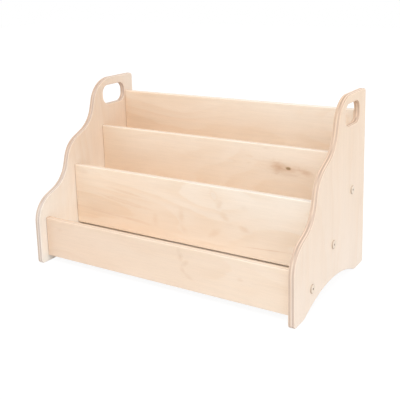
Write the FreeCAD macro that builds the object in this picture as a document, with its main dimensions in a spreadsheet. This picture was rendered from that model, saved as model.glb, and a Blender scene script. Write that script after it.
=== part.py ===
import FreeCAD, Part
import math
import os
import re
import Sketcher

# Tabletop picture book browser: two plywood sides with a wave-shaped front carry three
# trays that step up towards the back. X runs across the width, Y runs from the front
# edge to the back edge and Z points up. The origin lies on the table under the middle
# of the unit.

os.makedirs("parts", exist_ok=True)
doc = FreeCAD.newDocument("book_browser")

# Driving dimensions, in millimetres.
SIZES = {
    "overall_width": 600,
    "board": 12.7,
    "edge_round": 2,
    # trays, from the front edge of the sides to their back edge
    "front_rail_front": 19,
    "front_tray": 84.5,
    "middle_tray": 87,
    "rear_tray": 74.5,
    "back_setback": 18.5,
    # heights above the table, and heights of the upright boards above their tray floors
    "front_rail_bottom": 13,
    "front_rail_width": 84,
    "front_floor_height": 39,
    "middle_floor_rise": 48.5,
    "rear_floor_rise": 81,
    "front_divider_rise": 103,
    "rear_divider_rise": 90.5,
    "back_panel_rise": 159,
    "board_overhang": 9,
    "front_divider_clearance": 6,
    # grooves that take the long edges of the tray floors
    "groove_depth": 4,
    "groove_clearance": 0.2,
    # wave along the front of the sides
    "overall_height": 367,
    "shoulder_height": 130,
    "hollow_height": 163.5,
    "second_shoulder_height": 239.5,
    "second_hollow_height": 273.5,
    "riser_lead": 10,
    "riser_run": 22,
    "crown_run": 25.5,
    "shoulder_radius": 58,
    "hollow_radius": 68,
    "crown_radius": 61,
    "corner_radius": 7,
    # arch between the feet of the sides
    "front_foot": 41,
    "back_foot": 48,
    "arch_rise": 27,
    "arch_corner_radius": 30,
    # hand hole under the top edge of the sides
    "hand_hole_length": 76.5,
    "hand_hole_height": 43.5,
    "hand_hole_top_margin": 17.5,
    "hand_hole_back_margin": 1.5,
    "hand_hole_radius": 18.5,
    # connector bolts through the sides into the ends of the tray floors
    "bolt_diameter": 6,
    "bolt_length": 50,
    "bolt_tip_chamfer": 0.8,
    "bolt_head_diameter": 17,
    "bolt_head_thickness": 2.2,
    "bolt_head_bevel": 0.8,
    "bolt_socket": 4,
    "bolt_socket_depth": 3.4,
    "bolt_bore_clearance": 0.6,
    "bolt_bore_runout": 2,
    # barrel nuts across the bolts, let in from under the tray floors
    "nut_diameter": 10,
    "nut_recess": 1.35,
    "nut_distance": 38,
    "nut_bore_clearance": 0.2,
    "nut_thread_clearance": 0.2,
    "nut_slot_width": 1.4,
    "nut_slot_depth": 1.2,
    # dowels between the upright boards and the sides
    "dowel_diameter": 6,
    "dowel_length": 24,
    "dowel_chamfer": 0.8,
    "dowel_side_depth": 8,
    "dowel_top_distance": 20,
    "low_dowel": 40,
    "short_board_low_dowel": 14,
    "dowel_bore_clearance": 0.1,
    "dowel_end_gap": 0.5,
}

# Places that follow from the driving dimensions.
PLACES = {
    "half_board": "board / 2",
    "half_width": "overall_width / 2",
    "inner_width": "overall_width - 2 * board",
    "half_inner_width": "inner_width / 2",
    "right_side_inner_face": "half_width - board",
    "left_side_outer_face": "-half_width",
    "sides_front": "-overall_depth / 2",
    # fronts, bottoms and widths of the upright boards
    "front_divider_front": "front_rail_back + front_tray",
    "rear_divider_front": "front_divider_back + middle_tray",
    "back_panel_front": "rear_divider_back + rear_tray",
    "overall_depth": "back_panel_back + back_setback",
    "middle_floor_height": "front_floor_height + middle_floor_rise",
    "rear_floor_height": "middle_floor_height + rear_floor_rise",
    "front_divider_bottom": "front_floor_height + board + front_divider_clearance",
    "rear_divider_bottom": "middle_floor_height - board_overhang",
    "back_panel_bottom": "rear_floor_height - board_overhang",
    "front_divider_width": "middle_floor_height + front_divider_rise - front_divider_bottom",
    "rear_divider_width": "rear_floor_height + rear_divider_rise - rear_divider_bottom",
    "back_panel_width": "rear_floor_height + back_panel_rise - back_panel_bottom",
    # grooves
    "groove_width": "board + groove_clearance",
    "back_groove_inset": "board - groove_depth",
    "groove_reach": "2 * groove_depth - groove_clearance",
    # ends and corners of the wave
    "top_corner_place": "overall_depth",
    "top_corner_height": "overall_height",
    "crown_place": "rear_divider_front - riser_lead",
    "crown_height": "overall_height",
    "second_hollow_place": "crown_place - crown_run",
    "second_shoulder_place": "front_divider_front - riser_lead",
    "hollow_place": "second_shoulder_place - riser_run",
    "shoulder_place": "0",
    "front_corner_place": "0",
    "front_corner_height": "0",
    # arch: a circle through the inner ends of both feet
    "arch_back": "overall_depth - back_foot",
    "arch_middle": "(front_foot + arch_back) / 2",
    "arch_half_span": "(arch_back - front_foot) / 2",
    "arch_diameter": "(arch_half_span ^ 2 + arch_rise ^ 2) / arch_rise",
    "arch_centre_height": "arch_rise - arch_diameter / 2",
    # hand hole
    "hand_hole_back": "back_panel_front - hand_hole_back_margin",
    "hand_hole_front": "hand_hole_back - hand_hole_length",
    "hand_hole_top": "overall_height - hand_hole_top_margin",
    "hand_hole_bottom": "hand_hole_top - hand_hole_height",
    # bolts and barrel nuts
    "bolt_radius": "bolt_diameter / 2",
    "bolt_tip": "half_width - bolt_length",
    "bolt_tip_shoulder": "bolt_tip + bolt_tip_chamfer",
    "bolt_tip_radius": "bolt_radius - bolt_tip_chamfer",
    "bolt_head_face": "half_width + bolt_head_thickness",
    "bolt_bevel_start": "bolt_head_face - bolt_head_bevel",
    "bolt_head_radius": "bolt_head_diameter / 2",
    "bolt_face_radius": "bolt_head_radius - bolt_head_bevel",
    "socket_corners": "bolt_socket / cos(30 deg)",
    "bolt_bore": "bolt_diameter + bolt_bore_clearance",
    "bolt_bore_depth": "bolt_length - board + bolt_bore_runout",
    "nut_place": "half_width - nut_distance",
    "nut_length": "board - 2 * nut_recess",
    "nut_bore": "nut_diameter + nut_bore_clearance",
    "nut_bore_depth": "board - nut_recess",
    "nut_thread": "bolt_diameter + nut_thread_clearance",
    "nut_slot_front": "-nut_slot_width / 2",
    # dowels
    "dowel_bore": "dowel_diameter + dowel_bore_clearance",
    "dowel_side_bore": "dowel_side_depth + dowel_end_gap",
    "dowel_board_length": "dowel_length - dowel_side_depth",
    "dowel_board_bore": "dowel_board_length + dowel_end_gap",
    "dowel_start": "half_inner_width - dowel_board_length",
}

# Wave of the sides, from its upper end down to its lower end. An arc rounds each corner
# between the ends, and is held to a radius that leaves a short straight run between it
# and the next one, at least as long as the rounding of the edges.
WAVE = ("top_corner", "crown", "second_hollow", "second_shoulder", "hollow", "shoulder", "front_corner")
WAVE_RADII = {
    "crown": "crown_radius",
    "second_hollow": "hollow_radius",
    "second_shoulder": "shoulder_radius",
    "hollow": "hollow_radius",
    "shoulder": "shoulder_radius",
}
for upper, lower in zip(WAVE, WAVE[1:]):
    fall = f"({upper}_height - {lower}_height)"
    advance = f"({upper}_place - {lower}_place)"
    PLACES[f"{lower}_span"] = f"sqrt({fall} ^ 2 + {advance} ^ 2)"
    PLACES[f"{lower}_slope"] = f"atan2({fall}; {advance})"
for corner, lower in zip(WAVE[1:], WAVE[2:]):
    PLACES[f"{corner}_turn"] = f"abs({corner}_slope - {lower}_slope)"
    PLACES[f"{corner}_reach"] = f"(min({corner}_span; {lower}_span) - edge_round) / 2"
    PLACES[f"{corner}_room"] = f"{corner}_reach / tan({corner}_turn / 2)"
    PLACES[f"{corner}_arc"] = f"min({WAVE_RADII[corner]}; {corner}_room)"

# Upright boards from front to back, each with the height of its lower dowels.
UPRIGHTS = {
    "front_rail": "short_board_low_dowel",
    "front_divider": "short_board_low_dowel",
    "rear_divider": "low_dowel",
    "back_panel": "low_dowel",
}
for board, low_dowel in UPRIGHTS.items():
    PLACES[f"{board}_back"] = f"{board}_front + board"
    PLACES[f"{board}_dowel"] = f"{board}_front + half_board"
    PLACES[f"{board}_dowel_low"] = low_dowel
    PLACES[f"{board}_dowel_high"] = f"{board}_width - dowel_top_distance"
    PLACES[f"{board}_dowel_low_height"] = f"{board}_bottom + {board}_dowel_low"
    PLACES[f"{board}_dowel_high_height"] = f"{board}_bottom + {board}_dowel_high"

# Trays from front to back, each with the upright boards before and behind it and what
# its floor has beyond the tray's own depth. The front floor runs on under the board behind
# it to one board past it, and the other floors end in that board's groove.
TRAYS = {
    "front": ("front_rail", "front_divider", "groove_depth + 2 * board"),
    "middle": ("front_divider", "rear_divider", "groove_reach"),
    "rear": ("rear_divider", "back_panel", "groove_reach"),
}
for tray, (before, behind, reach) in TRAYS.items():
    PLACES[f"{tray}_floor_front"] = f"{before}_back - groove_depth"
    PLACES[f"{tray}_floor_depth"] = f"{tray}_tray + {reach}"
    PLACES[f"{before}_back_groove_height"] = f"{tray}_floor_height - {before}_bottom"
    if reach == "groove_reach":
        PLACES[f"{behind}_front_groove_height"] = f"{tray}_floor_height - {behind}_bottom"
    PLACES[f"{tray}_bolt"] = f"{before}_back + {tray}_tray / 2"
    PLACES[f"{tray}_bolt_inset"] = f"{tray}_bolt - {tray}_floor_front"
    PLACES[f"{tray}_bolt_height"] = f"{tray}_floor_height + half_board"


def fill_sheet(name, cells):
    """Write one spreadsheet row, with an aliased cell, for each entry."""
    sheet = doc.addObject("Spreadsheet::Sheet", name)
    for row, alias in enumerate(cells, start=1):
        sheet.set(f"A{row}", alias.replace("_", " "))
        sheet.setAlias(f"B{row}", alias)
    for row, content in enumerate(cells.values(), start=1):
        sheet.set(f"B{row}", str(content))
    return sheet


def formula(text):
    """Turn a place's formula into a spreadsheet formula that reads the sheet of sizes."""
    return "=" + re.sub("[a-z_]+", lambda word: sheet_name(word[0]), text)


def sheet_name(word):
    """Point a word at the sheet of sizes where it is a size, and leave it alone otherwise."""
    return f"Sizes.{word}" if word in SIZES else word


sizes = fill_sheet("Sizes", SIZES)
doc.recompute()
places = fill_sheet("Places", {alias: formula(text) for alias, text in PLACES.items()})
doc.recompute()


def named(alias):
    """Give the sheet address of a size or place, for use in an expression."""
    return f"Sizes.{alias}" if alias in SIZES else f"Places.{alias}"


def number(alias):
    """Give the present value of a size or place; no alias means zero, a place on the axis."""
    if alias is None:
        return 0.0
    sheet = sizes if alias in SIZES else places
    return float(sheet.get(alias))


def new_body(label, across=None, back=None, up=None):
    """Start a sub-part whose origin lies at named places.

    Places along Y count from the front edge of the sides, half a depth before the origin.
    """
    body = doc.addObject("PartDesign::Body", label)
    body.Label = label
    front_edge = named("sides_front")
    body.setExpression("Placement.Base.y", f"{front_edge} + {named(back)}" if back else front_edge)
    for axis, alias in (("x", across), ("z", up)):
        if alias:
            body.setExpression(f"Placement.Base.{axis}", named(alias))
    return body


def origin_plane(body, role):
    """Find one of a body's own origin planes."""
    return next(item for item in body.Origin.OriginFeatures if item.Role == role)


def new_sketch(body, name, role, offset=None):
    """Attach a sketch to an origin plane of its body, moved along the plane's normal."""
    sketch = body.newObject("Sketcher::SketchObject", name)
    sketch.AttachmentSupport = [(origin_plane(body, role), "")]
    sketch.MapMode = "FlatFace"
    if offset:
        sketch.setExpression("AttachmentOffset.Base.z", named(offset))
    return sketch


def hold_point(sketch, geometry, vertex, across, up):
    """Hold a sketch point at two named places, or on the axis where one has no name."""
    for kind, axis, alias in (("DistanceX", -2, across), ("DistanceY", -1, up)):
        if alias is None:
            sketch.addConstraint(Sketcher.Constraint("PointOnObject", geometry, vertex, axis))
        else:
            rule = Sketcher.Constraint(kind, -1, 1, geometry, vertex, number(alias))
            index = sketch.addConstraint(rule)
            sketch.setExpression(f"Constraints[{index}]", named(alias))


def hold_size(sketch, kind, references, alias):
    """Hold a length, radius or diameter in a sketch at a named value."""
    index = sketch.addConstraint(Sketcher.Constraint(kind, *references, number(alias)))
    sketch.setExpression(f"Constraints[{index}]", named(alias))


def polygon(sketch, corners):
    """Draw a closed outline of straight lines through corners at named places."""
    points = [FreeCAD.Vector(number(across), number(up), 0) for across, up in corners]
    for start, end in zip(points, points[1:] + points[:1]):
        sketch.addGeometry(Part.LineSegment(start, end))
    for side, (across, up) in enumerate(corners):
        before = (side - 1) % len(corners)
        sketch.addConstraint(Sketcher.Constraint("Coincident", before, 2, side, 1))
        hold_point(sketch, side, 1, across, up)


def rectangle(sketch, left, low, width, height):
    """Draw a rectangle from its left and low sides, its width and its height."""
    x_low, y_low = number(left), number(low)
    x_high, y_high = x_low + number(width), y_low + number(height)
    corners = [(x_low, y_low), (x_high, y_low), (x_high, y_high), (x_low, y_high)]
    points = [FreeCAD.Vector(x, y, 0) for x, y in corners]
    for start, end in zip(points, points[1:] + points[:1]):
        sketch.addGeometry(Part.LineSegment(start, end))
    for side, level in enumerate(("Horizontal", "Vertical", "Horizontal", "Vertical")):
        sketch.addConstraint(Sketcher.Constraint("Coincident", side, 2, (side + 1) % 4, 1))
        sketch.addConstraint(Sketcher.Constraint(level, side))
    hold_point(sketch, 0, 1, left, low)
    hold_size(sketch, "DistanceX", (0, 1, 0, 2), width)
    hold_size(sketch, "DistanceY", (1, 1, 1, 2), height)


def circle(sketch, across, up, diameter):
    """Draw a circle with a named centre and diameter."""
    centre = FreeCAD.Vector(number(across), number(up), 0)
    ring = Part.Circle(centre, FreeCAD.Vector(0, 0, 1), number(diameter) / 2)
    index = sketch.addGeometry(ring)
    hold_point(sketch, index, 3, across, up)
    hold_size(sketch, "Diameter", (index,), diameter)


def hexagon(sketch, across_corners):
    """Draw a regular hexagon around the origin inside a named circle, one corner up."""
    radius = number(across_corners) / 2
    turns = [math.radians(90 + 60 * corner) for corner in range(6)]
    points = [FreeCAD.Vector(radius * math.cos(turn), radius * math.sin(turn), 0) for turn in turns]
    for start, end in zip(points, points[1:] + points[:1]):
        sketch.addGeometry(Part.LineSegment(start, end))
    ring = Part.Circle(FreeCAD.Vector(), FreeCAD.Vector(0, 0, 1), radius)
    index = sketch.addGeometry(ring, True)
    hold_point(sketch, index, 3, None, None)
    hold_size(sketch, "Diameter", (index,), across_corners)
    for side in range(6):
        sketch.addConstraint(Sketcher.Constraint("Coincident", side, 2, (side + 1) % 6, 1))
        sketch.addConstraint(Sketcher.Constraint("PointOnObject", side, 1, index))
        if side:
            sketch.addConstraint(Sketcher.Constraint("Equal", 0, side))
    sketch.addConstraint(Sketcher.Constraint("PointOnObject", 0, 1, -2))


def rounded_outline(sketch, corners):
    """Draw a closed outline, anticlockwise, of straight runs joined by tangent arcs.

    Each corner names where its two runs would meet and the radius that joins them.
    """
    count = len(corners)
    points = [FreeCAD.Vector(number(across), number(up), 0) for across, up, _ in corners]
    joints = []
    for index, (across, up, radius) in enumerate(corners):
        corner = points[index]
        back = (points[index - 1] - corner).normalize()
        ahead = (points[(index + 1) % count] - corner).normalize()
        half_angle = back.getAngle(ahead) / 2
        reach = number(radius) / math.tan(half_angle)
        centre = corner + (back + ahead).normalize() * (number(radius) / math.sin(half_angle))
        enter, leave = corner + back * reach, corner + ahead * reach
        turns_left = ahead.cross(back).z > 0
        first, last = (enter, leave) if turns_left else (leave, enter)
        angles = [math.atan2(end.y - centre.y, end.x - centre.x) for end in (first, last)]
        ring = Part.Circle(centre, FreeCAD.Vector(0, 0, 1), number(radius))
        arc = sketch.addGeometry(Part.ArcOfCircle(ring, *angles))
        mark = sketch.addGeometry(Part.Point(corner), True)
        hold_size(sketch, "Radius", (arc,), radius)
        hold_point(sketch, mark, 1, across, up)
        joints.append((arc, mark, enter, leave, (1, 2) if turns_left else (2, 1)))
    for index, (arc, mark, _, leave, ends) in enumerate(joints):
        next_arc, next_mark, next_enter, _, next_ends = joints[(index + 1) % count]
        run = sketch.addGeometry(Part.LineSegment(leave, next_enter))
        sketch.addConstraint(Sketcher.Constraint("PointOnObject", mark, 1, run))
        sketch.addConstraint(Sketcher.Constraint("PointOnObject", next_mark, 1, run))
        sketch.addConstraint(Sketcher.Constraint("Tangent", arc, ends[1], run, 1))
        sketch.addConstraint(Sketcher.Constraint("Tangent", run, 2, next_arc, next_ends[0]))


def pad(body, name, sketch, length, both_ways=False):
    """Raise a sketch into a solid along its plane's normal."""
    feature = body.newObject("PartDesign::Pad", name)
    feature.Profile = sketch
    feature.setExpression("Length", named(length))
    if both_ways:
        feature.SideType = "Symmetric"
    doc.recompute()
    return feature


def pocket(body, name, sketch, depth=None, along_normal=False):
    """Cut a sketch out of a solid, right through where no depth is named."""
    before = body.Shape.Volume
    feature = body.newObject("PartDesign::Pocket", name)
    feature.Profile = sketch
    if depth:
        feature.Type = "Length"
        feature.setExpression("Length", named(depth))
        feature.Reversed = along_normal
    else:
        feature.Type = "ThroughAll"
        feature.SideType = "Symmetric"
    doc.recompute()
    if not body.Shape.Volume < before:
        raise RuntimeError(f"{body.Label}: {name} cuts nothing")
    return feature


def mirror(body, features):
    """Repeat features on the other side of the middle of the width."""
    copy = body.newObject("PartDesign::Mirrored", f"{body.Label}_mirrored")
    copy.Originals = features
    copy.MirrorPlane = (origin_plane(body, "YZ_Plane"), [""])
    body.Tip = copy
    doc.recompute()
    return copy


def dress(body, kind, name, base, size, wanted):
    """Round or chamfer every edge of a feature that passes a test."""
    edges = [f"Edge{i}" for i, edge in enumerate(base.Shape.Edges, start=1) if wanted(edge)]
    if not edges:
        raise RuntimeError(f"{body.Label}: {name} finds no edge")
    feature = body.newObject(f"PartDesign::{kind}", name)
    feature.Base = (base, edges)
    size_property = "Radius" if kind == "Fillet" else "Size"
    feature.setExpression(size_property, named(size))
    doc.recompute()
    return feature


def match(first, second):
    """Tell whether two coordinates are the same, to a hundredth of a millimetre."""
    return abs(first - second) < 0.01


def lies_in_face(edge):
    """Tell whether an edge keeps the same X from end to end."""
    return match(edge.BoundBox.XMin, edge.BoundBox.XMax)


def runs_across(edge):
    """Tell whether an edge is straight and runs along X."""
    start, end = edge.Vertexes[0].Point, edge.Vertexes[-1].Point
    return match(start.y, end.y) and match(start.z, end.z) and not lies_in_face(edge)


def side_panel(label, left_face, inner_face=None):
    """Plywood side with its wave, arch and hand hole, and bores for bolts and dowels.

    The panel starts at its left face. inner_face names how far from there the face lies
    that looks at the trays, and is left out where it is the left face itself.
    """
    body = new_body(label, across=left_face)

    outline = new_sketch(body, f"{label}_outline", "YZ_Plane")
    rounded_outline(outline, [
        (None, None, "corner_radius"),
        ("overall_depth", None, "corner_radius"),
        ("overall_depth", "overall_height", "corner_radius"),
        ("crown_place", "overall_height", "crown_arc"),
        ("second_hollow_place", "second_hollow_height", "second_hollow_arc"),
        ("second_shoulder_place", "second_shoulder_height", "second_shoulder_arc"),
        ("hollow_place", "hollow_height", "hollow_arc"),
        (None, "shoulder_height", "shoulder_arc"),
    ])
    pad(body, f"{label}_board", outline, "board")

    arch = new_sketch(body, f"{label}_arch_circle", "YZ_Plane")
    circle(arch, "arch_middle", "arch_centre_height", "arch_diameter")
    arched = pocket(body, f"{label}_arch", arch)

    def at_arch_end(edge):
        middle = edge.CenterOfMass
        at_foot = any(match(middle.y, number(place)) for place in ("front_foot", "arch_back"))
        return runs_across(edge) and match(middle.z, 0) and at_foot

    dress(body, "Fillet", f"{label}_arch_corners", arched, "arch_corner_radius", at_arch_end)

    hole = new_sketch(body, f"{label}_hand_hole_outline", "YZ_Plane")
    rounded_outline(hole, [
        ("hand_hole_front", "hand_hole_bottom", "hand_hole_radius"),
        ("hand_hole_back", "hand_hole_bottom", "hand_hole_radius"),
        ("hand_hole_back", "hand_hole_top", "hand_hole_radius"),
        ("hand_hole_front", "hand_hole_top", "hand_hole_radius"),
    ])
    holed = pocket(body, f"{label}_hand_hole", hole)
    dress(body, "Fillet", f"{label}_eased_edges", holed, "edge_round", lies_in_face)

    bolts = new_sketch(body, f"{label}_bolt_circles", "YZ_Plane")
    for tray in TRAYS:
        circle(bolts, f"{tray}_bolt", f"{tray}_bolt_height", "bolt_bore")
    pocket(body, f"{label}_bolt_holes", bolts)

    dowels = new_sketch(body, f"{label}_dowel_circles", "YZ_Plane", inner_face)
    for board in UPRIGHTS:
        for level in ("low", "high"):
            circle(dowels, f"{board}_dowel", f"{board}_dowel_{level}_height", "dowel_bore")
    pocket(body, f"{label}_dowel_holes", dowels, "dowel_side_bore", not inner_face)


def upright_board(label, has_front_groove, has_back_groove):
    """Board across the unit that stands upright: the rail, a divider or the back.

    Grooves in its faces take the tray floors, and dowel holes in its ends locate it.
    """
    body = new_body(label, back=f"{label}_front", up=f"{label}_bottom")
    section = new_sketch(body, f"{label}_section", "YZ_Plane")
    rectangle(section, None, None, "board", f"{label}_width")
    board = pad(body, f"{label}_board", section, "inner_width", both_ways=True)

    def edges_a_face(edge):
        return match(edge.BoundBox.YMin, edge.BoundBox.YMax)

    dress(body, "Fillet", f"{label}_eased_edges", board, "edge_round", edges_a_face)

    for face, inset, wanted in (
        ("front", None, has_front_groove),
        ("back", "back_groove_inset", has_back_groove),
    ):
        if wanted:
            groove = new_sketch(body, f"{label}_{face}_groove_section", "YZ_Plane")
            low = f"{label}_{face}_groove_height"
            rectangle(groove, inset, low, "groove_depth", "groove_width")
            pocket(body, f"{label}_{face}_groove", groove)

    end = new_sketch(body, f"{label}_dowel_circles", "YZ_Plane", "half_inner_width")
    for level in ("low", "high"):
        circle(end, "half_board", f"{label}_dowel_{level}", "dowel_bore")
    holes = pocket(body, f"{label}_dowel_holes", end, "dowel_board_bore")
    mirror(body, [holes])


def tray_floor(tray):
    """Bottom of one tray, with a bolt hole in each end and barrel nut holes underneath."""
    label = f"{tray}_tray_floor"
    body = new_body(label, back=f"{tray}_floor_front", up=f"{tray}_floor_height")
    section = new_sketch(body, f"{label}_section", "YZ_Plane")
    rectangle(section, None, None, f"{tray}_floor_depth", "board")
    pad(body, f"{label}_board", section, "inner_width", both_ways=True)

    end = new_sketch(body, f"{label}_bolt_circle", "YZ_Plane", "half_inner_width")
    circle(end, f"{tray}_bolt_inset", "half_board", "bolt_bore")
    bolt_hole = pocket(body, f"{label}_bolt_hole", end, "bolt_bore_depth")

    underside = new_sketch(body, f"{label}_nut_circle", "XY_Plane")
    circle(underside, "nut_place", f"{tray}_bolt_inset", "nut_bore")
    nut_hole = pocket(body, f"{label}_nut_hole", underside, "nut_bore_depth", along_normal=True)
    mirror(body, [bolt_hole, nut_hole])


def floor_bolts(tray):
    """Pair of steel connector bolts that clamp the sides to the ends of one tray floor."""
    label = f"{tray}_floor_bolts"
    body = new_body(label, back=f"{tray}_bolt", up=f"{tray}_bolt_height")
    profile = new_sketch(body, f"{label}_profile", "XZ_Plane")
    polygon(profile, [
        ("bolt_tip", None),
        ("bolt_head_face", None),
        ("bolt_head_face", "bolt_face_radius"),
        ("bolt_bevel_start", "bolt_head_radius"),
        ("half_width", "bolt_head_radius"),
        ("half_width", "bolt_radius"),
        ("bolt_tip_shoulder", "bolt_radius"),
        ("bolt_tip", "bolt_tip_radius"),
    ])
    turned = body.newObject("PartDesign::Revolution", f"{label}_turned")
    turned.Profile = profile
    turned.ReferenceAxis = (profile, ["H_Axis"])
    turned.Angle = 360
    doc.recompute()

    hexagon_sketch = new_sketch(body, f"{label}_hexagon", "YZ_Plane", "bolt_head_face")
    hexagon(hexagon_sketch, "socket_corners")
    socket = pocket(body, f"{label}_socket", hexagon_sketch, "bolt_socket_depth")
    mirror(body, [turned, socket])


def barrel_nuts(tray):
    """Pair of steel barrel nuts in one tray floor, cross bored for the bolts and slotted."""
    label = f"{tray}_barrel_nuts"
    body = new_body(label, back=f"{tray}_bolt", up=f"{tray}_floor_height")
    ring = new_sketch(body, f"{label}_circle", "XY_Plane", "nut_recess")
    circle(ring, "nut_place", None, "nut_diameter")
    mirror(body, [pad(body, f"{label}_barrel", ring, "nut_length")])

    thread = new_sketch(body, f"{label}_thread_circle", "YZ_Plane")
    circle(thread, None, "half_board", "nut_thread")
    pocket(body, f"{label}_thread", thread)

    slot = new_sketch(body, f"{label}_slot_outline", "XY_Plane", "nut_recess")
    rectangle(slot, "left_side_outer_face", "nut_slot_front", "overall_width", "nut_slot_width")
    pocket(body, f"{label}_slot", slot, "nut_slot_depth", along_normal=True)


def board_dowels(board):
    """Four beech dowels that locate the ends of one upright board in the sides."""
    label = f"{board}_dowels"
    body = new_body(label, back=f"{board}_dowel", up=f"{board}_bottom")
    ends = new_sketch(body, f"{label}_circles", "YZ_Plane", "dowel_start")
    for level in ("low", "high"):
        circle(ends, None, f"{board}_dowel_{level}", "dowel_diameter")
    pins = mirror(body, [pad(body, f"{label}_pins", ends, "dowel_length")])
    dress(body, "Chamfer", f"{label}_ends", pins, "dowel_chamfer", lies_in_face)


def check_and_write():
    """Stop if anything failed, and otherwise write each sub-part to a STEP file."""
    doc.recompute()
    failed = [item.Name for item in doc.Objects if {"Invalid", "Error"} & set(item.State)]
    bodies = [item for item in doc.Objects if item.TypeId == "PartDesign::Body"]
    broken = [body.Label for body in bodies if body.Shape.isNull() or not body.Shape.isValid()]
    if failed or broken:
        raise RuntimeError(f"failed objects: {failed}, broken sub-parts: {broken}")
    for body in bodies:
        body.Shape.exportStep(f"parts/{body.Label}.step")
        print(f"{body.Label}: {len(body.Shape.Solids)} solid(s), {body.Shape.Volume:.0f} mm3")


side_panel("left_side_panel", "left_side_outer_face", inner_face="board")
side_panel("right_side_panel", "right_side_inner_face")
upright_board("front_rail", has_front_groove=False, has_back_groove=True)
upright_board("front_divider", has_front_groove=False, has_back_groove=True)
upright_board("rear_divider", has_front_groove=True, has_back_groove=True)
upright_board("back_panel", has_front_groove=True, has_back_groove=False)
for tray in TRAYS:
    tray_floor(tray)
    floor_bolts(tray)
    barrel_nuts(tray)
for board in UPRIGHTS:
    board_dowels(board)
check_and_write()
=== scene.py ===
from math import radians

import bpy
from mathutils import Matrix, Vector


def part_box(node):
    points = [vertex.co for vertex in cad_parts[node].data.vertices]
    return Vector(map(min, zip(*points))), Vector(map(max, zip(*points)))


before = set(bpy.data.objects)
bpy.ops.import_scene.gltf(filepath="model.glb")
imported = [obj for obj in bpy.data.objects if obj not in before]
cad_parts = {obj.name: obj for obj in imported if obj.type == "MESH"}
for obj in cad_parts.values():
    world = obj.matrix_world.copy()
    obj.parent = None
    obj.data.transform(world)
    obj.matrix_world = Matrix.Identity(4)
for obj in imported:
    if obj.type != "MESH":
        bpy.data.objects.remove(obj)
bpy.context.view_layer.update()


# ------------------------------------------------------------------------------------ the two sides
# Two boards of half inch birch plywood with a wave cut in the front, an arch between the feet and a hand
# hole. Five plies are glued crosswise with the face grain upright. The edges are eased and sanded, and the
# boards are lacquered clear.
side_lowest, side_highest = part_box("left_side_panel")
BOARD = side_highest.x - side_lowest.x
SIDE_HEIGHT = side_highest.z - side_lowest.z
FACE_VENEER = 0.0016
INNER_PLY = (BOARD - 2 * FACE_VENEER) / 3
GLUE_LINE = 0.00016
GLUE_WANDER = 0.0009
NEXT_SHEET = 3.7
GRAIN_UPRIGHT = (0, radians(-90), 0)

# The birch of every board, where the board doesn't say otherwise. The two woods, the glue and the pores are
# colours, and the rest are tones that the wood's colour is multiplied by.
birch = {
    "First wood": (0.940, 0.805, 0.675, 1),
    "Last wood": (0.940, 0.805, 0.675, 1),
    "Glue": (0.450, 0.300, 0.220, 1),
    "Pore": (0.330, 0.170, 0.085, 1),
    "Warm wood": (0.955, 0.905, 0.850, 1),
    "Ring line": (0.930, 0.860, 0.780, 1),
    "Other face": (0.985, 0.955, 0.910, 1),
    "Sanded edge": (0.890, 0.875, 0.890, 1),
    "Cross ply": (0.940, 0.915, 0.905, 1),
    "Open end": (0.770, 0.730, 0.700, 1),
    "Knot": (0.560, 0.330, 0.150, 1),
    "Joint": (0.680, 0.560, 0.450, 1),
}


def fill(tree, node, inputs):
    """Sets a node's inputs, or joins them to what other nodes put out."""
    for socket, value in inputs.items():
        if isinstance(value, bpy.types.NodeSocket):
            tree.links.new(value, node.inputs[socket])
        else:
            node.inputs[socket].default_value = value


def add(tree, kind, inputs=(), **choices):
    """Puts one node in a material or group, makes its choices and fills its inputs."""
    node = tree.nodes.new("ShaderNode" + kind)
    for name, choice in choices.items():
        setattr(node, name, choice)
    fill(tree, node, dict(inputs))
    return node


def numbers(tree, operation, *values, clamped=False):
    """One step of arithmetic on numbers. Where it is clamped, its result stays from 0 to 1."""
    return add(tree, "Math", enumerate(values), operation=operation, use_clamp=clamped).outputs[0]


def vectors(tree, operation, *values):
    node = add(tree, "VectorMath", enumerate(values), operation=operation)
    return node.outputs["Value" if operation == "LENGTH" else "Vector"]


def parts(tree, vector):
    """The three numbers that a vector is made of."""
    return add(tree, "SeparateXYZ", {0: vector}).outputs


def between(tree, value, low, high, to_low=0.0, to_high=1.0, smooth=True):
    """Eases from to_low at low to to_high at high, and stays there beyond."""
    steps = {"Value": value, "From Min": low, "From Max": high, "To Min": to_low, "To Max": to_high}
    return add(tree, "MapRange", steps, interpolation_type="SMOOTHSTEP" if smooth else "LINEAR").outputs[0]


def mixed(tree, share, first, second, kind="RGBA"):
    """Passes from the first value to the second as the share goes from 0 to 1."""
    one, two, result = {"FLOAT": (2, 3, 0), "VECTOR": (4, 5, 1), "RGBA": (6, 7, 2)}[kind]
    return add(tree, "Mix", {0: share, one: first, two: second}, data_type=kind).outputs[result]


def toned(tree, share, colour, tone):
    """Multiplies a colour by a tone, as far as the share says."""
    return mixed(tree, share, colour, vectors(tree, "MULTIPLY", colour, tone))


def noise(tree, place, cells, detail=2.0, roughness=0.5, distortion=0.0):
    """Soft noise from 0 to 1. The cells are how many fit in a metre in each direction."""
    settings = {
        "Vector": vectors(tree, "MULTIPLY", place, cells),
        "Scale": 1.0,
        "Detail": detail,
        "Roughness": roughness,
        "Distortion": distortion,
    }
    return add(tree, "TexNoise", settings).outputs[0]


def effect(name, takes, gives):
    """Starts a node group that several materials share, and gives it with its inlets and outlets."""
    group = bpy.data.node_groups.new(name, "ShaderNodeTree")
    for label, kind in takes.items():
        group.interface.new_socket(label, in_out="INPUT", socket_type="NodeSocket" + kind)
    for label, kind in gives.items():
        group.interface.new_socket(label, in_out="OUTPUT", socket_type="NodeSocket" + kind)
    inlets = group.nodes.new("NodeGroupInput").outputs
    outlets = group.nodes.new("NodeGroupOutput").inputs
    return group, inlets, outlets


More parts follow.
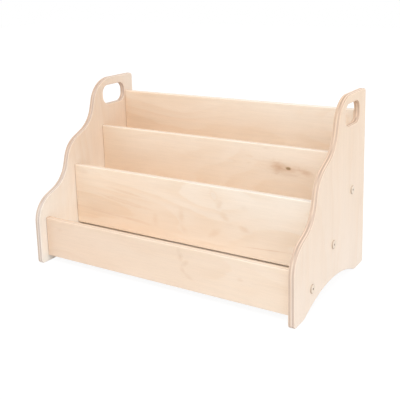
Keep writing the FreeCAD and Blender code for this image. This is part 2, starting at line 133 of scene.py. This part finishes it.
def use(tree, group, inputs):
    """Places a shared effect in a material or another effect and gives its outlets."""
    node = tree.nodes.new("ShaderNodeGroup")
    node.node_tree = group
    fill(tree, node, inputs)
    return node.outputs


# Which of the five plies a point lies in, where it lies in that ply's own sheet, and how the wood is cut
# there. A place is measured along the face grain, across it, and out from the middle ply.
plies, plies_in, plies_out = effect(
    "five plies",
    {"Place": "Vector", "Facing": "Vector"},
    {
        "Sheet place": "Vector",
        "Cross ply": "Float",
        "End grain": "Float",
        "Glue": "Float",
        "Sanded edge": "Float",
    },
)
lengthways, crossways, outwards = parts(plies, plies_in["Place"])
wander = noise(plies, plies_in["Place"], (22, 22, 22), detail=3.0)
depth = numbers(plies, "SUBTRACT", outwards, GLUE_WANDER / 2)
depth = numbers(plies, "MULTIPLY_ADD", wander, GLUE_WANDER, depth)
from_middle = numbers(plies, "ABSOLUTE", depth)
under_face = numbers(plies, "LESS_THAN", from_middle, BOARD / 2 - FACE_VENEER)
in_core = numbers(plies, "LESS_THAN", from_middle, INNER_PLY / 2)
cross_ply = numbers(plies, "SUBTRACT", under_face, in_core)

# Each ply is cut from its own sheet, so no two plies have the same figure.
sheets_out = numbers(plies, "SUBTRACT", 2.0, numbers(plies, "ADD", under_face, in_core))
sheets_out = numbers(plies, "MULTIPLY", sheets_out, numbers(plies, "SIGN", depth))
own_depth = numbers(plies, "MULTIPLY_ADD", sheets_out, NEXT_SHEET, outwards)
with_face = add(plies, "CombineXYZ", {0: lengthways, 1: crossways, 2: own_depth}).outputs[0]
across_face = add(plies, "CombineXYZ", {0: crossways, 1: lengthways, 2: own_depth}).outputs[0]

# The surface shows end grain where it faces along the ply's own grain, and it is a sanded edge where it turns
# away from the board's faces.
slope = parts(plies, vectors(plies, "MULTIPLY", plies_in["Facing"], plies_in["Facing"]))
cut = mixed(plies, cross_ply, slope[0], slope[1], "FLOAT")
outer_glue = numbers(plies, "SUBTRACT", from_middle, BOARD / 2 - FACE_VENEER)
inner_glue = numbers(plies, "SUBTRACT", from_middle, INNER_PLY / 2)
to_outer = numbers(plies, "ABSOLUTE", outer_glue)
to_inner = numbers(plies, "ABSOLUTE", inner_glue)
to_glue = numbers(plies, "MINIMUM", to_outer, to_inner)

plies.links.new(mixed(plies, cross_ply, with_face, across_face, "VECTOR"), plies_out["Sheet place"])
plies.links.new(cross_ply, plies_out["Cross ply"])
plies.links.new(between(plies, cut, 0.05, 0.65), plies_out["End grain"])
plies.links.new(between(plies, to_glue, GLUE_LINE * 0.4, GLUE_LINE, 1.0, 0.0), plies_out["Glue"])
plies.links.new(between(plies, slope[2], 0.15, 0.75, 1.0, 0.0), plies_out["Sanded edge"])

# The figure of one sheet of rotary cut birch: ring lines that swell and ripple, clouds of tone, long streaks,
# fine fibres and short pores.
RINGS_PER_METRE = 14.0
RINGS_IN_A_SWELL = 13.0
RINGS_IN_A_RIPPLE = 0.75
EARLY_WOOD = 0.15
LATE_WOOD = 0.88

sheet, sheet_in, sheet_out = effect(
    "birch figure",
    {"Sheet place": "Vector", "Rise": "Float", "Tilt": "Float"},
    {"Ring line": "Float", "Cloud": "Float", "Streak": "Float", "Fibre": "Float", "Pore": "Float"},
)
spot = sheet_in["Sheet place"]
lengthways, crossways, _ = parts(sheet, spot)
swell = noise(sheet, spot, (1.9, 6.5, 1.0), detail=1.5, roughness=0.45)
ripple = noise(sheet, spot, (9, 42, 1.0))
rings = numbers(sheet, "MULTIPLY_ADD", lengthways, sheet_in["Tilt"], crossways)
rings = numbers(sheet, "MULTIPLY", rings, RINGS_PER_METRE)
rings = numbers(sheet, "MULTIPLY_ADD", swell, RINGS_IN_A_SWELL, rings)
rings = numbers(sheet, "MULTIPLY_ADD", ripple, RINGS_IN_A_RIPPLE, rings)
rings = numbers(sheet, "ADD", rings, sheet_in["Rise"])
year = numbers(sheet, "FRACT", rings)
darkening = between(sheet, year, EARLY_WOOD, LATE_WOOD)
ending = between(sheet, year, LATE_WOOD, 1.0, 1.0, 0.0)
line = numbers(sheet, "MULTIPLY", darkening, ending)
fading = between(sheet, noise(sheet, spot, (4, 16, 1.0)), 0.36, 0.66)
cloud = noise(sheet, spot, (5.5, 11, 1.0), detail=3.0, roughness=0.55, distortion=0.3)
pores = noise(sheet, spot, (260, 3800, 3800), detail=1.0)

sheet.links.new(numbers(sheet, "MULTIPLY", line, fading), sheet_out["Ring line"])
sheet.links.new(between(sheet, cloud, 0.30, 0.70), sheet_out["Cloud"])
sheet.links.new(noise(sheet, spot, (5, 150, 60), detail=3.0, roughness=0.6), sheet_out["Streak"])
sheet.links.new(noise(sheet, spot, (55, 1500, 1500), roughness=0.6), sheet_out["Fibre"])
sheet.links.new(between(sheet, pores, 0.66, 0.74), sheet_out["Pore"])

# A lacquered plywood board: its plies and their figure put together as colour, sheen and surface height.
CLOUD_SHARE = 0.40
EVEN_WARMTH = 0.10
PORE_SHARE = 0.14
GLUE_SHARE = 0.45
CROSS_PLY_CLOSED = 0.55
KNOT_HEART = (0.66, 0.86, 1.10)
JOINT_SHADE_STARTS = 0.0018
JOINT_SHADE_FULL = 0.0006
FACE_ROUGHNESS = 0.40
ROUGHER_EDGE = 0.14
ROUGHER_FIBRE = 0.14
PORE_DIP = 0.55
RING_DIP = 0.25
GLUE_DIP = 0.50

plywood, ply_in, ply_out = effect(
    "lacquered birch plywood",
    {
        "Place": "Vector",
        "Facing": "Vector",
        "Light and shade along": "Float",
        "Rise": "Float",
        "Tilt": "Float",
        "Ring share": "Float",
        "Stain": "Float",
        "Joint at": "Float",
        **dict.fromkeys(birch, "Color"),
    },
    {"Colour": "Color", "Roughness": "Float", "Height": "Float"},
)
layer = use(plywood, plies, {"Place": ply_in["Place"], "Facing": ply_in["Facing"]})
grain = use(
    plywood,
    sheet,
    {"Sheet place": layer["Sheet place"], "Rise": ply_in["Rise"], "Tilt": ply_in["Tilt"]},
)
lengthways, _, outwards = parts(plywood, ply_in["Place"])

# Painted light and shade: the first wood passes into the last along a board or up a side.
shade = mixed(plywood, ply_in["Light and shade along"], ply_in["First wood"], ply_in["Last wood"])
warmth = numbers(plywood, "MULTIPLY_ADD", grain["Cloud"], CLOUD_SHARE, EVEN_WARMTH, clamped=True)
shade = toned(plywood, warmth, shade, ply_in["Warm wood"])
ringed = numbers(plywood, "MULTIPLY", grain["Ring line"], ply_in["Ring share"], clamped=True)
shade = toned(plywood, ringed, shade, ply_in["Ring line"])
streaks = between(plywood, grain["Streak"], 0.25, 0.75, 0.975, 1.02, smooth=False)
threads = between(plywood, grain["Fibre"], 0.25, 0.75, 0.965, 1.03, smooth=False)
strands = numbers(plywood, "MULTIPLY", streaks, threads)
shade = add(plywood, "VectorMath", {0: shade, "Scale": strands}, operation="SCALE").outputs[0]
shade = mixed(plywood, numbers(plywood, "MULTIPLY", grain["Pore"], PORE_SHARE), shade, ply_in["Pore"])
shade = toned(plywood, numbers(plywood, "LESS_THAN", outwards, 0.0), shade, ply_in["Other face"])

# Sanded edges differ from the faces. Where a cut opens the fibres' ends, the wood soaks up more lacquer and
# is darker. On the sides, whose face grain stands upright, that darkening also paints shade on the cut edges
# that face up and down.
shade = toned(plywood, layer["Sanded edge"], shade, ply_in["Sanded edge"])
shade = toned(plywood, layer["Cross ply"], shade, ply_in["Cross ply"])
soaked_and_shaded = numbers(plywood, "MULTIPLY_ADD", layer["Cross ply"], -CROSS_PLY_CLOSED, 1.0)
soaked_and_shaded = numbers(plywood, "MULTIPLY", soaked_and_shaded, layer["End grain"])
soaked_and_shaded = numbers(plywood, "MULTIPLY", soaked_and_shaded, layer["Sanded edge"])
shade = toned(plywood, soaked_and_shaded, shade, ply_in["Open end"])
shade = mixed(plywood, numbers(plywood, "MULTIPLY", layer["Glue"], GLUE_SHARE), shade, ply_in["Glue"])

# Stains lie in the face. Where one is darkest it is the heart of a knot, which is greyer.
shade = toned(plywood, ply_in["Stain"], shade, ply_in["Knot"])
shade = toned(plywood, between(plywood, ply_in["Stain"], 0.60, 0.95), shade, KNOT_HEART)

# The end of a board darkens just before it meets the side: painted shade of the narrow joint, with some
# lacquer soaked into the cut end.
past_end = numbers(plywood, "SUBTRACT", numbers(plywood, "ABSOLUTE", lengthways), ply_in["Joint at"])
joint_shade_share = between(plywood, past_end, -JOINT_SHADE_STARTS, -JOINT_SHADE_FULL)
shade = toned(plywood, joint_shade_share, shade, ply_in["Joint"])
plywood.links.new(shade, ply_out["Colour"])

roughness = numbers(plywood, "MULTIPLY_ADD", layer["Sanded edge"], ROUGHER_EDGE, FACE_ROUGHNESS)
roughness = numbers(plywood, "MULTIPLY_ADD", grain["Fibre"], ROUGHER_FIBRE, roughness)
plywood.links.new(roughness, ply_out["Roughness"])
height = numbers(plywood, "MULTIPLY_ADD", grain["Pore"], -PORE_DIP, grain["Fibre"])
height = numbers(plywood, "MULTIPLY_ADD", grain["Ring line"], -RING_DIP, height)
height = numbers(plywood, "MULTIPLY_ADD", layer["Glue"], -GLUE_DIP, height)
plywood.links.new(height, ply_out["Height"])

# One fleck, knot or stain in the face veneer: a soft spot with a ragged outline.
RAGGED = 0.9

fleck, fleck_in, fleck_out = effect(
    "fleck in the face",
    {"Place": "Vector", "At": "Vector", "Reach": "Vector", "Lean": "Float"},
    {"Spot": "Float"},
)
sideways, upwards, _ = parts(fleck, vectors(fleck, "SUBTRACT", fleck_in["Place"], fleck_in["At"]))
leaning = numbers(fleck, "MULTIPLY_ADD", sideways, fleck_in["Lean"], upwards)
in_sheet = add(fleck, "CombineXYZ", {0: sideways, 1: leaning}).outputs[0]
away = vectors(fleck, "LENGTH", vectors(fleck, "DIVIDE", in_sheet, fleck_in["Reach"]))
outline = noise(fleck, fleck_in["Place"], (70, 190, 1.0), detail=3.0, roughness=0.6)
away = numbers(fleck, "MULTIPLY_ADD", outline, RAGGED, away)
in_face = numbers(fleck, "GREATER_THAN", parts(fleck, fleck_in["Place"])[2], BOARD / 2 - FACE_VENEER)
mark = between(fleck, away, 0.45, 1.75, 1.0, 0.0)
fleck.links.new(numbers(fleck, "MULTIPLY", mark, in_face), fleck_out["Spot"])

NO_JOINT = 1000.0


def lacquered(name, turn, middle, shade_span, flecks=(), tilt=0.0, ring_share=0.4, joint_at=NO_JOINT, **tones):
    """The material of one board. The turn lays its grain, and middle is a point on its middle ply.

    The shade_span says where along the grain the first wood passes into the last; that change of tone is
    painted light and shade. Each fleck has its place along and up the board, its half length and half height,
    how dark it is, how much the rings swell round it, and its lean.
    """
    material = bpy.data.materials.new(name)
    material.use_nodes = True
    tree = material.node_tree
    tree.nodes.clear()
    lacquer = {"IOR": 1.5, "Coat Weight": 0.25, "Coat Roughness": 0.28, "Coat IOR": 1.5}
    shader = add(tree, "BsdfPrincipled", lacquer)
    add(tree, "OutputMaterial", {"Surface": shader.outputs[0]})
    where = add(tree, "TexCoord").outputs
    centred = vectors(tree, "SUBTRACT", where["Object"], middle)
    place = add(tree, "Mapping", {"Vector": centred, "Rotation": turn}).outputs[0]
    direction = {"Vector": where["Normal"], "Rotation": turn}
    facing = add(tree, "Mapping", direction, vector_type="VECTOR").outputs[0]
    inputs = {
        "Place": place,
        "Facing": facing,
        "Light and shade along": between(tree, parts(tree, place)[0], *shade_span, smooth=False),
        "Tilt": tilt,
        "Ring share": ring_share,
        "Joint at": joint_at,
        **birch,
        **{tone.replace("_", " ").capitalize(): value for tone, value in tones.items()},
    }
    for x, y, half_length, half_height, dark, swelling, lean in flecks:
        setting = {"Place": place, "At": (x, y, 0), "Reach": (half_length, half_height, 1), "Lean": lean}
        stained = use(tree, fleck, setting)["Spot"]
        stain = inputs.get("Stain", 0.0)
        rise = inputs.get("Rise", 0.0)
        inputs["Stain"] = numbers(tree, "MULTIPLY_ADD", stained, dark, stain, clamped=True)
        inputs["Rise"] = numbers(tree, "MULTIPLY_ADD", stained, swelling, rise)
    board = use(tree, plywood, inputs)
    bump = add(tree, "Bump", {"Height": board["Height"], "Strength": 0.35, "Distance": 0.00025})
    surface = {"Base Color": board["Colour"], "Roughness": board["Roughness"], "Normal": bump.outputs[0]}
    fill(tree, shader, surface)
    return material


def finish(node, material):
    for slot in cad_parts[node].material_slots:
        slot.material = material


def middle_of(node):
    lowest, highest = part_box(node)
    return (lowest + highest) / 2


# Each side is cut at its own place in the sheet. The left side is darker above 235 mm and paler below 120 mm,
# and the right side changes evenly from its top to its feet, where it is palest. These changes of tone are
# painted shade and painted light, and the darker edges of the left side are painted shade.
LEFT_CUT_AT = (0.4, 1.3)
LEFT_SHADED_ABOVE = 0.235
LEFT_LIT_BELOW = 0.120
RIGHT_CUT_AT = (2.1, 0.7)

finish(
    "left_side_panel",
    lacquered(
        "left side plywood",
        GRAIN_UPRIGHT,
        middle=(middle_of("left_side_panel").x, *LEFT_CUT_AT),
        shade_span=(LEFT_CUT_AT[1] - LEFT_SHADED_ABOVE, LEFT_CUT_AT[1] - LEFT_LIT_BELOW),
        ring_share=0.3,
        first_wood=(0.945, 0.800, 0.670, 1),
        last_wood=(1.000, 0.955, 0.890, 1),
        other_face=(0.980, 0.925, 0.855, 1),
        sanded_edge=(0.800, 0.750, 0.735, 1),
        open_end=(0.680, 0.640, 0.620, 1),
    ),
)
finish(
    "right_side_panel",
    lacquered(
        "right side plywood",
        GRAIN_UPRIGHT,
        middle=(middle_of("right_side_panel").x, *RIGHT_CUT_AT),
        shade_span=(RIGHT_CUT_AT[1] - SIDE_HEIGHT, RIGHT_CUT_AT[1]),
        ring_share=0.25,
        first_wood=(0.970, 0.770, 0.590, 1),
        last_wood=(0.990, 0.855, 0.735, 1),
        open_end=(0.600, 0.550, 0.520, 1),
    ),
)


# ----------------------------------------------------------------------------------- the front rail
# The low upright board that keeps the books in the front tray. It is the same plywood with its face grain
# running from side to side, and dowels hold its ends to the sides.
GRAIN_SIDEWAYS = (radians(-90), 0, 0)
HALF_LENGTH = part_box("front_rail")[1].x
WHOLE_LENGTH = (-HALF_LENGTH, HALF_LENGTH)
BOARD_EDGE = (0.880, 0.920, 0.980, 1)
BOARD_END = (0.910, 0.890, 0.870, 1)


# Each board is darker and warmer at its left end and paler at its right end: painted shade from the left side
# and painted light towards the right.
def upright_board(node, name, cut_at, marks=(), shade_span=WHOLE_LENGTH, **looks):
    """Lacquers an upright board that runs from side to side.

    cut_at is the place in the sheet that gives the board a figure of its own. Marks are flecks in
    millimetres, along the board from its middle and up from the table.
    """
    flecks = [
        (x / 1000, z / 1000 - cut_at, length / 1000, height / 1000, dark, swelling, lean)
        for x, z, length, height, dark, swelling, lean in marks
    ]
    looks = {"sanded_edge": BOARD_EDGE, "open_end": BOARD_END, **looks}
    middle = (0, middle_of(node).y, cut_at)
    finish(node, lacquered(name, GRAIN_SIDEWAYS, middle, shade_span, flecks, joint_at=HALF_LENGTH, **looks))


rail_marks = [
    (56, 77, 6, 9, 0.17, 1.4, 0.0),
    (66, 66, 9, 6, 0.16, 1.2, -0.5),
    (60, 52, 7, 7, 0.16, 1.0, 0.4),
    (74, 40, 12, 6, 0.14, 0.8, 0.4),
    (52, 90, 5, 6, 0.12, 0.6, 0.0),
    (-249, 76, 9, 4, 0.12, 0.3, 0.0),
    (184, 59, 8, 4, 0.10, 0.3, 0.0),
]
upright_board(
    "front_rail",
    "front rail plywood",
    cut_at=0.3,
    marks=rail_marks,
    first_wood=(0.870, 0.680, 0.530, 1),
    last_wood=(0.940, 0.790, 0.645, 1),
    sanded_edge=(0.920, 0.960, 1.000, 1),
)


# -------------------------------------------------------------------------------- the front divider
# The upright board behind the front tray, cut from the same plywood and doweled to the sides. Its figure
# sweeps down from the left end, with faint stains and one thin dark streak low on the right.
# Left of this point the front divider keeps its painted shade at full.
FRONT_DIVIDER_SHADED_END = -0.15

front_divider_marks = [
    (192, 81.5, 58, 1.4, 0.30, 0.5, -0.06),
    (72, 172, 10, 12, 0.10, 0.6, 0.6),
    (84, 153, 9, 14, 0.10, 0.5, -0.5),
    (97, 131, 14, 10, 0.11, 0.6, 0.6),
    (-6, 116, 9, 18, 0.10, 0.5, 0.0),
    (-1, 90, 11, 10, 0.09, 0.4, 0.5),
    (142, 113, 15, 7, 0.16, 0.6, 0.2),
    (72, 94, 15, 9, 0.10, 0.4, -0.5),
    (140, 156, 10, 6, 0.07, 0.3, 0.0),
    (-71, 98, 9, 17, 0.09, 0.4, 0.0),
    (-215, 92, 85, 5, 0.16, 0.8, 0.05),
    (-120, 88, 50, 4, 0.12, 0.8, 0.10),
    (-150, 124, 70, 5, 0.12, 1.2, 0.10),
    (-140, 145, 60, 4, 0.10, 0.8, 0.12),
    (-262, 178, 16, 7, 0.12, 0.5, 0.0),
]
upright_board(
    "front_divider",
    "front divider plywood",
    cut_at=4.6,
    marks=front_divider_marks,
    shade_span=(FRONT_DIVIDER_SHADED_END, HALF_LENGTH),
    tilt=0.12,
    ring_share=0.5,
    first_wood=(0.985, 0.830, 0.675, 1),
    last_wood=(0.990, 0.930, 0.845, 1),
)


# --------------------------------------------------------------------------------- the rear divider
# The upright board behind the middle tray, of the same plywood and doweled to the sides. A small knot with a
# stained ring lies towards its right end.
# The rear divider and the back board get a lighter painted shade at their ends.
LIGHT_JOINT_SHADE = (0.880, 0.820, 0.760, 1)

rear_divider_marks = [
    (186, 216, 6.5, 3.8, 0.90, 1.0, 0.0),
    (187, 215, 28, 9, 0.28, 1.6, 0.0),
    (161, 216, 19, 16, 0.38, 1.2, 0.0),
    (224, 212, 16, 8, 0.32, 0.9, 0.25),
    (190, 213, 85, 20, 0.13, 2.0, 0.06),
    (185, 203, 26, 4, 0.12, 0.5, 0.0),
    (136, 252, 9, 3, 0.09, 0.4, 0.0),
    (54, 215, 12, 4, 0.06, 0.5, 0.0),
    (98, 232, 10, 3, 0.06, 0.5, 0.0),
]
upright_board(
    "rear_divider",
    "rear divider plywood",
    cut_at=2.3,
    marks=rear_divider_marks,
    first_wood=(0.980, 0.810, 0.645, 1),
    last_wood=(0.990, 0.865, 0.735, 1),
    joint=LIGHT_JOINT_SHADE,
)


# ----------------------------------------------------------------------------------- the back board
# The upright board that the books in the rear tray lean on, of the same plywood. It has no marks of its own,
# and dowels hold it between the sides.
upright_board(
    "back_panel",
    "back board plywood",
    cut_at=3.3,
    first_wood=(0.945, 0.755, 0.580, 1),
    last_wood=(0.990, 0.880, 0.755, 1),
    joint=LIGHT_JOINT_SHADE,
)


# ---------------------------------------------------------------------------------- the tray floors
# Three level boards of the same plywood that the books stand on. Their long edges are let into grooves in
# the upright boards, except where the front one runs on under its divider. Bolts through the sides hold
# their ends.
GRAIN_LEVEL = (0, 0, 0)
PALE_WOOD = (0.860, 0.775, 0.690, 1)

for tray in ("front", "middle", "rear"):
    floor = tray + "_tray_floor"
    middle = (0, 0, middle_of(floor).z)
    name = tray + " tray floor plywood"
    wood = lacquered(name, GRAIN_LEVEL, middle, WHOLE_LENGTH, first_wood=PALE_WOOD, last_wood=PALE_WOOD)
    finish(floor, wood)


# --------------------------------------------------------------------------------------- the dowels
# Plain beech pegs that keep the upright boards from turning. Two thirds of each peg is glued into the end of
# its board, and one third into the side.
SPECK_SHADE = 0.8
SPECK_SHEEN = 0.06


def specked(name, colour, roughness, metallic, cells):
    """The finish of a small fitting, a little uneven in its colour, sheen and height."""
    material = bpy.data.materials.new(name)
    material.use_nodes = True
    tree = material.node_tree
    tree.nodes.clear()
    specks = noise(tree, add(tree, "TexCoord").outputs["Object"], cells, detail=3.0, roughness=0.6)
    darker = tuple(SPECK_SHADE * value for value in colour[:3]) + (1,)
    bump = add(tree, "Bump", {"Height": specks, "Strength": 0.2, "Distance": 0.0001})
    surface = {
        "Metallic": metallic,
        "Base Color": mixed(tree, between(tree, specks, 0.3, 0.7), darker, colour),
        "Roughness": between(tree, specks, 0.3, 0.7, roughness - SPECK_SHEEN, roughness + SPECK_SHEEN),
        "Normal": bump.outputs[0],
    }
    shader = add(tree, "BsdfPrincipled", surface)
    add(tree, "OutputMaterial", {"Surface": shader.outputs[0]})
    return material


beech = specked("dowel beech", (0.72, 0.50, 0.33, 1), roughness=0.55, metallic=0.0, cells=(120, 1800, 1800))
for board in ("front_rail", "front_divider", "rear_divider", "back_panel"):
    finish(board + "_dowels", beech)


# ------------------------------------------------------------------------ the barrel nuts and bolts
# Connector bolts through the sides into barrel nuts in the floors. The nuts are zinc plated. The flat faces
# of the bolt heads are turned smooth and nickel plated, and their rims and sockets are rougher and painted
# darker as shade.
BRIGHT_NICKEL = (0.900, 0.770, 0.640, 1)
SHADED_NICKEL = (0.600, 0.500, 0.410, 1)
LATHE_SHADE = 0.93
RIM_ROUGHNESS = 0.50
SMOOTHER_FACE = 0.18
ROUGHER_MARKS = 0.08

nickel = bpy.data.materials.new("bolt nickel")
nickel.use_nodes = True
tree = nickel.node_tree
tree.nodes.clear()
where = add(tree, "TexCoord").outputs
square_on = parts(tree, vectors(tree, "MULTIPLY", where["Normal"], where["Normal"]))[0]
turned_and_unshaded = between(tree, square_on, 0.35, 0.95)
lathe_marks = noise(tree, where["Object"], (300, 2600, 2600), roughness=0.6)
marked = tuple(LATHE_SHADE * value for value in BRIGHT_NICKEL)
face_colour = mixed(tree, between(tree, lathe_marks, 0.3, 0.7), marked, BRIGHT_NICKEL)
roughness = numbers(tree, "MULTIPLY_ADD", turned_and_unshaded, -SMOOTHER_FACE, RIM_ROUGHNESS)
bump = add(tree, "Bump", {"Height": lathe_marks, "Strength": 0.15, "Distance": 0.00005})
# The rims and socket walls take the shaded nickel: painted shade.
surface = {
    "Metallic": 1.0,
    "Base Color": mixed(tree, turned_and_unshaded, SHADED_NICKEL, face_colour),
    "Roughness": numbers(tree, "MULTIPLY_ADD", lathe_marks, ROUGHER_MARKS, roughness),
    "Normal": bump.outputs[0],
}
shader = add(tree, "BsdfPrincipled", surface)
add(tree, "OutputMaterial", {"Surface": shader.outputs[0]})

zinc = specked("barrel nut zinc", (0.60, 0.61, 0.62, 1), roughness=0.38, metallic=1.0, cells=(900, 900, 900))
for tray in ("front", "middle", "rear"):
    finish(tray + "_barrel_nuts", zinc)
    finish(tray + "_floor_bolts", nickel)


# -------------------------------------------------------------------------- the table and the light
# A plain white table top in an even white room. Four broad soft lamps, from above, the right, the left and
# behind, give the boards their shape, and the table top keeps a faint shadow.
TABLE_SIZE = 12.0
TABLE_GREY = (0.80, 0.80, 0.80, 1)
TABLE_GLOW = 0.92
SHADOW_GREY = (0.12, 0.12, 0.12, 1)
ROOM_COLOUR = (1.0, 0.985, 0.97, 1)
ROOM_LIGHT = 0.45
WHITE = (1, 1, 1, 1)

bpy.ops.mesh.primitive_plane_add(size=TABLE_SIZE, location=(0, 0, 0))
table = bpy.context.object
table.name = "table_top"


def white_for_the_eye(tree, output, lit, white):
    """Shows white to the camera, in gloss and through glass, and the lit surface to every other ray."""
    path = add(tree, "LightPath").outputs
    seen = numbers(tree, "ADD", path["Is Camera Ray"], path["Is Glossy Ray"], clamped=True)
    seen = numbers(tree, "ADD", seen, path["Is Transmission Ray"], clamped=True)
    both = add(tree, "MixShader", {0: seen, 1: lit, 2: white})
    tree.links.new(both.outputs[0], output.inputs["Surface"])


top = bpy.data.materials.new("table white")
top.use_nodes = True
tree = top.node_tree
tree.nodes.clear()
lit = add(tree, "BsdfDiffuse", {"Color": TABLE_GREY})
glow = add(tree, "Emission", {"Color": WHITE, "Strength": TABLE_GLOW})
shadowed = add(tree, "BsdfDiffuse", {"Color": SHADOW_GREY})
shown = add(tree, "AddShader", {0: glow.outputs[0], 1: shadowed.outputs[0]})
white_for_the_eye(tree, add(tree, "OutputMaterial"), lit.outputs[0], shown.outputs[0])
table.data.materials.append(top)

room = bpy.data.worlds.new("white room")
bpy.context.scene.world = room
room.use_nodes = True
tree = room.node_tree
tree.nodes.clear()
ambient = add(tree, "Background", {"Color": ROOM_COLOUR, "Strength": ROOM_LIGHT})
paper = add(tree, "Background", {"Color": WHITE, "Strength": 1.0})
white_for_the_eye(tree, add(tree, "OutputWorld"), ambient.outputs[0], paper.outputs[0])


def soft_lamp(name, strength, comes_from, spread):
    """A broad lamp so far off that only the direction of its light counts. The spread is in degrees."""
    data = bpy.data.lights.new(name, "SUN")
    data.energy = strength
    data.angle = radians(spread)
    holder = bpy.data.objects.new(name, data)
    bpy.context.scene.collection.objects.link(holder)
    turn = (-Vector(comes_from)).to_track_quat("-Z", "Y")
    holder.matrix_world = Matrix.Translation(comes_from) @ turn.to_matrix().to_4x4()


soft_lamp("top lamp", 1.20, comes_from=(0, -0.174, 0.985), spread=60)
soft_lamp("right lamp", 1.05, comes_from=(0.579, -0.406, 0.707), spread=60)
soft_lamp("left lamp", 0.80, comes_from=(-0.837, -0.483, 0.259), spread=60)
soft_lamp("back lamp", 0.60, comes_from=(0, 0.966, 0.259), spread=80)


# --------------------------------------------------------------------------------------- the camera
# A long lens in front of the unit and beyond its right end, higher than its top and turned to the left. A
# shift moves its frame down and slightly to the left, which brings the whole unit in.
CAMERA_PLACE = (0.7632, -1.16185, 0.5952)
TURNED_LEFT = 31.638
LOOKING_DOWN = 11.774
ROLLED = -1.333

camera_data = bpy.data.cameras.new("camera")
camera_data.sensor_width = 36
camera_data.lens = 63.009
camera_data.shift_x = -0.0362
camera_data.shift_y = -0.2
camera = bpy.data.objects.new("camera", camera_data)
bpy.context.scene.collection.objects.link(camera)
camera.matrix_world = (
    Matrix.Translation(CAMERA_PLACE)
    @ Matrix.Rotation(radians(TURNED_LEFT), 4, "Z")
    @ Matrix.Rotation(radians(90 - LOOKING_DOWN), 4, "X")
    @ Matrix.Rotation(radians(ROLLED), 4, "Z")
)
bpy.context.scene.camera = camera

bpy.context.scene.view_settings.view_transform = "Standard"
